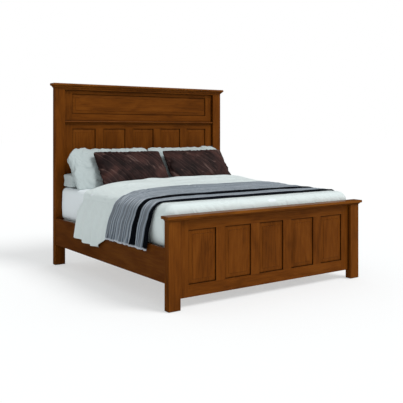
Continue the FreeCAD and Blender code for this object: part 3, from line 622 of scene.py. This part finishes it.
# Shares that fade in with height: on the bed's top, down the side, and below the rail's top.
on_top = soft_step(z, 0.70, 0.79)
hanging = soft_step(-z, -0.74, -(rail_top + 0.05))
low_share = soft_step(-z, -(rail_top + 0.03), -hem_z)
z = z + lift * soft_step(z, 0.55, 0.80)
spot = np.stack([x, y, z], -1)
wide = throw_width * across
turn = 2 * math.pi * wide / rib_pitch + 1.5 * np.sin(29 * wide) + 0.9 * np.sin(71 * wide)
ridge = (0.5 + 0.5 * np.cos(turn)) ** 2
phase = 52 * wide + 1.3 * np.sin(17 * wide)
x = x + np.sign(x) * hanging * (0.001 + 0.006 * low_share) * (1.05 + np.sin(phase))
x = x + np.sign(x) * hanging * (0.002 * (1 + ripples(spot, 0.25, 31)) + 0.004 * ridge)
z = z + 0.003 * ridge * soft_step(z, 0.70, 0.80)
bunch = 0.0035 * np.clip(ripples(spot * [0.35, 1.5, 1.0], 0.16, 33), -0.2, 1) + 0.0006
z = z + bunch * on_top
ragged = ripples(np.stack([np.sign(x), 3 * y, 0 * y], -1), 0.05, 35)
z = z - 0.005 * low_share ** 4 * (0.5 + 0.5 * ragged)
knit_thickness = 0.0052
points, walls = slab(np.stack([x, y, z], -1), np.full(x.shape, knit_thickness))
throw = mesh_object("knitted_throw", points, walls, knit, merge=1e-7)

stripes = ((-0.01, 0.08), (0.224, 0.304))
flat_v = np.tile(np.repeat(wide[None], len(path), 0).ravel(), 2)
flat_u = np.tile(np.repeat(down[:, None], lanes, 1).ravel(), 2)
data = throw.data
data.attributes.new("rib", "FLOAT", "POINT").data.foreach_set(
    "value", np.tile(np.repeat(ridge[None], len(path), 0).ravel(), 2))
fringe_from = half_length - 0.018
fringe_full = half_length - 0.008
frayed = soft_step(np.abs(flat_u), fringe_from, fringe_full)
data.attributes.new("fringe", "FLOAT", "POINT").data.foreach_set("value", frayed)
corner_ids = np.empty(len(data.loops), int)
data.loops.foreach_get("vertex_index", corner_ids)
middle_v = flat_v[corner_ids.reshape(-1, 4)].mean(1)
in_stripe = sum((middle_v > start) & (middle_v < end) for start, end in stripes)
data.materials.append(knit_dark)
data.polygons.foreach_set("material_index", in_stripe.astype(np.int32))
flat_map = data.uv_layers.new(name="flat cloth")
flat_map.data.foreach_set("uv", np.column_stack([flat_u, flat_v])[corner_ids].ravel())
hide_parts("throw_blanket")
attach(throw, "root")


# ------------------------------------------------------------ pillows
# Two pillows lie flat at the headboard in white cotton cases, two larger ones lean on them,
# and two more in crushed brown velvet lean in front. Each case is two panels sewn together
# round the edge, filled with polyester, so its seams pucker and its corners stand out.

def stuffed_case(length, width, thick, corner, slack_corner, plump, rumple, seed):
    """Two flat panels sewn at the edge and blown up as cloth, then fitted to its outline.

    It starts as a low dome: half the thickness times a power of the distance from each
    edge. Air pressure swells it for twenty-four frames without gravity. The seam is then
    laid on a rectangle with round corners: each point moves by the shifts of the seam
    beside, above and below it, blended by how near it is to each. A power below one plumps
    the filling towards the seam, and short creases run in from all four seams.
    slack_corner is the cut of the one corner that hangs slack.
    """
    step = 0.0095
    frames = 24
    seam_reach = 0.06
    crease_gap = 0.08
    nx, ny = int(length / step), int(width / step)
    u, v = np.meshgrid(np.linspace(-1, 1, nx), np.linspace(-1, 1, ny), indexing="ij")
    full = ((1 - u ** 6) * (1 - v ** 4)) ** 0.55
    uneven = 0.002 * ripples(np.stack([u * length, v * width, 0 * u], -1), 0.12, seed)
    dome = 0.22 * thick * full + uneven * full
    top = np.stack([u * length / 2, v * width / 2, dome], -1)
    above = np.arange(nx * ny).reshape(nx, ny)
    below = above.copy()
    below[1:-1, 1:-1] = nx * ny + np.arange((nx - 2) * (ny - 2)).reshape(nx - 2, ny - 2)
    grid = np.concatenate([top.reshape(-1, 3), (top[1:-1, 1:-1] * [1, 1, -1]).reshape(-1, 3)])
    sides = [np.stack([g[:-1, :-1], g[1:, :-1], g[1:, 1:], g[:-1, 1:]], -1).reshape(-1, 4)
             for g in (above, below)]
    corners = np.concatenate([sides[0], sides[1][:, ::-1]])
    case = bpy.data.meshes.new("case")
    case.from_pydata(grid.tolist(), [], corners.tolist())
    body = bpy.data.objects.new("case", case)
    bpy.context.scene.collection.objects.link(body)
    cloth = body.modifiers.new("cloth", "CLOTH")
    cloth.settings.quality = 6
    cloth.settings.mass = 0.25
    cloth.settings.tension_stiffness = 25
    cloth.settings.compression_stiffness = 12
    cloth.settings.shear_stiffness = 6
    cloth.settings.bending_stiffness = 0.15
    cloth.settings.use_pressure = True
    cloth.settings.uniform_pressure_force = 5.0
    cloth.settings.effector_weights.gravity = 0
    cloth.collision_settings.use_collision = False
    cloth.point_cache.frame_start = 1
    cloth.point_cache.frame_end = frames
    for moment in range(1, frames + 1):
        bpy.context.scene.frame_set(moment)
    found = body.evaluated_get(bpy.context.evaluated_depsgraph_get()).to_mesh()
    flat = np.empty(len(found.vertices) * 3)
    found.vertices.foreach_get("co", flat)
    grid = flat.reshape(-1, 3)
    bpy.data.objects.remove(body)
    bpy.context.scene.frame_set(1)
    panels = [grid[above], grid[below]]
    wide = np.array([length, width]) / 2
    square = np.stack([u, v], -1) * wide
    slack = ((u < 0) & (v > 0))[..., None]
    past = np.maximum(np.abs(square) - (wide - np.where(slack, slack_corner, corner)), 0)
    bend = np.where(slack, past.sum(-1, keepdims=True),
                    np.linalg.norm(past, axis=-1, keepdims=True))
    pulled = np.maximum(bend, 1e-9)
    most = np.maximum(past.max(-1, keepdims=True), 1e-9)
    target = np.sign(square) * (np.abs(square) - past + past * most / pulled)
    seam = np.dstack([target, 0 * u]) - panels[0]
    s = (u[..., None] + 1) / 2
    t = (v[..., None] + 1) / 2
    shift = ((1 - s) * seam[:1] + s * seam[-1:] + (1 - t) * seam[:, :1] + t * seam[:, -1:]
             - (1 - s) * (1 - t) * seam[0, 0] - s * (1 - t) * seam[-1, 0]
             - (1 - s) * t * seam[0, -1] - s * t * seam[-1, -1])
    placed = grid.copy()
    for panel, ids in zip(panels, (above, below)):
        placed[ids] = panel + shift
    across_seams = np.array([[1, 0.22, 0], [0.22, 1, 0]])
    reach = np.maximum(wide - np.abs(placed[:, :2]), 0)
    high = np.abs(placed[:, 2]) / np.abs(placed[:, 2]).max()
    crumple = sum(0.35 * np.exp(-reach[:, 1 - i] / seam_reach)
                  * ripples(placed * across_seams[i], crease_gap, seed + i) for i in (0, 1))
    crumple = crumple + 0.6 * ripples(placed, 0.20, seed + 2)
    pinch = ripples(placed * [1.0, 0.5, 1.0], 0.17, seed + 3)
    crumple = crumple - 1.2 * np.exp(-(pinch / 0.22) ** 2)
    side = np.sign(placed[:, 2])
    filling = side * high ** plump * thick / 2
    placed[:, 2] = filling + side * rumple * crumple * high ** 0.6
    placed[:, 2] *= thick / np.ptp(placed[:, 2])
    return placed, corners


def crushed_velvet(name):
    """Crushed pile: dark brown velvet with long pale creases where its nap is bent over.

    The creases are where a noise, stretched eightfold down the case's slant, passes its
    middle value. They are about 55 mm apart and 400 mm long, and lie on the case's own flat
    map in metres. Sheen lightens the rims.
    """
    nap_size = 0.16
    crease_gap = 0.055
    material, tree = new_material(name)
    place = add(tree, "TexCoord")
    nap = add(tree, "TexNoise", {"Vector": place.outputs["Object"], "Scale": 1 / nap_size,
                                 "Detail": 3.0, "Distortion": 0.6})
    tint = add(tree, "ValToRGB", {"Fac": nap.outputs["Fac"]},
               stops=((0.35, "#180a09"), (0.70, "#422722"), (0.52, "#2b1816")))
    slant = add(tree, "Mapping", {
        "Vector": place.outputs["UV"], "Rotation": (0.0, 0.0, math.radians(-52)),
        "Scale": (8.0, 1.0, 1.0)}, {"vector_type": "TEXTURE"})
    bends = add(tree, "TexNoise", {"Vector": slant.outputs["Vector"],
                                   "Scale": 1 / crease_gap, "Detail": 1.0,
                                   "Roughness": 0.4})
    off = add(tree, "Math", {0: bends.outputs["Fac"], 1: 0.5}, {"operation": "SUBTRACT"})
    off = add(tree, "Math", {0: off.outputs[0]}, {"operation": "ABSOLUTE"})
    crease = add(tree, "ValToRGB", {"Fac": off.outputs[0]},
                 stops=((0.0, "#9a9a9a"), (0.014, "#000000")))
    worn = add(tree, "Mix", {0: crease.outputs["Color"], 6: tint.outputs["Color"],
                             7: colour("#8d6f66")}, {"data_type": "RGBA"})
    relief = add(tree, "Bump", {"Height": off.outputs[0], "Strength": 0.8,
                                "Distance": 0.03})
    skin = add(tree, "BsdfPrincipled", {
        "Base Color": worn.outputs[2], "Roughness": 0.7, "Specular IOR Level": 0.15,
        "Sheen Weight": 0.2, "Sheen Roughness": 0.4, "Sheen Tint": colour("#c8a096"),
        "Normal": relief.outputs["Normal"]})
    add(tree, "OutputMaterial", {"Surface": skin.outputs["BSDF"]})
    return material


# Painted shade: the white cases are coloured grey, for the shade they lie in at the headboard.
pillow_cotton = cover_cloth("white cotton pillow case", "#b0baba", 0.002, 0.02)
velvet = crushed_velvet("crushed brown velvet")
sleeping = dict(length=0.88, width=0.25, thick=0.155, corner=0.04, slack_corner=0.041,
                plump=0.3, rumple=0.004, seed=41)
leaning = dict(length=0.91, width=0.475, thick=0.145, corner=0.03, slack_corner=0.125,
               plump=0.8, rumple=0.008, seed=44)
crushed = dict(length=0.75, width=0.435, thick=0.125, corner=0.012, slack_corner=0.013,
               plump=0.9, rumple=0.004, seed=47)
kinds = (("sleeping_pillow", sleeping, 0.0, pillow_cotton, "pillow_cotton"),
         ("leaning_pillow", leaning, 52.0, pillow_cotton, "pillow_cotton"),
         ("velvet_pillow", crushed, 53.0, velvet, "velvet"))
for kind, size, tilt, cloth, slot_name in kinds:
    flat_points, corners = stuffed_case(**size)
    lean_back = math.radians(tilt)
    turn = np.array([[1, 0, 0], [0, math.cos(lean_back), -math.sin(lean_back)],
                     [0, math.sin(lean_back), math.cos(lean_back)]])
    for hand, flip in (("left", 1), ("right", -1)):
        low, high = (np.array(c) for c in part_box(kind + "_" + hand))
        points = (flat_points * [flip, 1, 1]) @ turn.T
        points += (low + high) / 2 - (points.max(0) + points.min(0)) / 2
        order = corners if flip == 1 else corners[:, ::-1]
        piece = mesh_object(kind + "_case_" + hand, points, order, cloth, 1e-6)
        used = np.empty(len(piece.data.loops), int)
        piece.data.loops.foreach_get("vertex_index", used)
        flat_case = flat_points[used, :2] * [flip, 1] + [3 * flip, 0]
        piece.data.uv_layers.new(name="flat case").data.foreach_set("uv", flat_case.ravel())
        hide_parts(kind + "_" + hand)
        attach(piece, "root")


# ------------------------------------------------------------ studio
# A pale floor and background under soft light, and the camera at the photograph's angle. To
# the camera the floor and the background are white where nothing shades them, and in the
# lacquer they are dim, as a table-top tent leaves them.

floor_paint, tree = new_material("pale floor")
ray = add(tree, "LightPath")
paper = add(tree, "BsdfDiffuse", {"Color": colour("#fafafa")})
glow = add(tree, "Emission", {"Color": colour("#ffffff"), "Strength": 1.0})
dusk = add(tree, "Emission", {"Color": colour("#a08468"), "Strength": 0.02})
shown = add(tree, "MixShader", {0: 0.5, 1: paper.outputs[0], 2: glow.outputs[0]})
plain_floor = add(tree, "MixShader", {0: ray.outputs["Is Camera Ray"], 1: paper.outputs[0],
                                      2: shown.outputs[0]})
mirrored_floor = add(tree, "MixShader", {0: ray.outputs["Is Glossy Ray"],
                                         1: plain_floor.outputs[0], 2: dusk.outputs[0]})
add(tree, "OutputMaterial", {"Surface": mirrored_floor.outputs[0]})
floor_data = bpy.data.meshes.new("floor")
floor_half = 60.0
floor_data.from_pydata([(-floor_half, -floor_half, 0), (floor_half, -floor_half, 0),
                        (floor_half, floor_half, 0), (-floor_half, floor_half, 0)],
                       [], [(0, 1, 2, 3)])
floor_data.materials.append(floor_paint)
floor = bpy.data.objects.new("floor", floor_data)
bpy.context.scene.collection.objects.link(floor)

world = bpy.data.worlds.new("studio")
world.use_nodes = True
world.node_tree.nodes.clear()
ray = add(world.node_tree, "LightPath")
room = add(world.node_tree, "Background", {"Color": colour("#f0f5f6"), "Strength": 0.66})
tent = add(world.node_tree, "Background", {"Color": colour("#fff4e6"), "Strength": 0.04})
seen = add(world.node_tree, "Background", {"Color": colour("#ffffff"), "Strength": 1.0})
around = add(world.node_tree, "MixShader", {0: ray.outputs["Is Glossy Ray"],
                                            1: room.outputs[0], 2: tent.outputs[0]})
mix = add(world.node_tree, "MixShader", {0: ray.outputs["Is Camera Ray"],
                                         1: around.outputs[0], 2: seen.outputs[0]})
add(world.node_tree, "OutputWorld", {"Surface": mix.outputs[0]})
bpy.context.scene.world = world

lamp = bpy.data.lights.new("key", "SUN")
lamp.energy = 1.95
lamp.angle = math.radians(28)
holder = bpy.data.objects.new("key", lamp)
holder.rotation_euler = (math.radians(40), 0, math.radians(32))
bpy.context.scene.collection.objects.link(holder)

view = bpy.data.cameras.new("camera")
view.sensor_width = 36.0
view.lens = 58.98
view.shift_y = -0.1762
camera = bpy.data.objects.new("camera", view)
camera.location = (-3.6266, -5.1799, 1.3431)
camera.rotation_euler = (math.radians(90), 0, math.radians(-35.2177))
bpy.context.scene.collection.objects.link(camera)
bpy.context.scene.camera = camera
bpy.context.scene.view_settings.view_transform = "Standard"
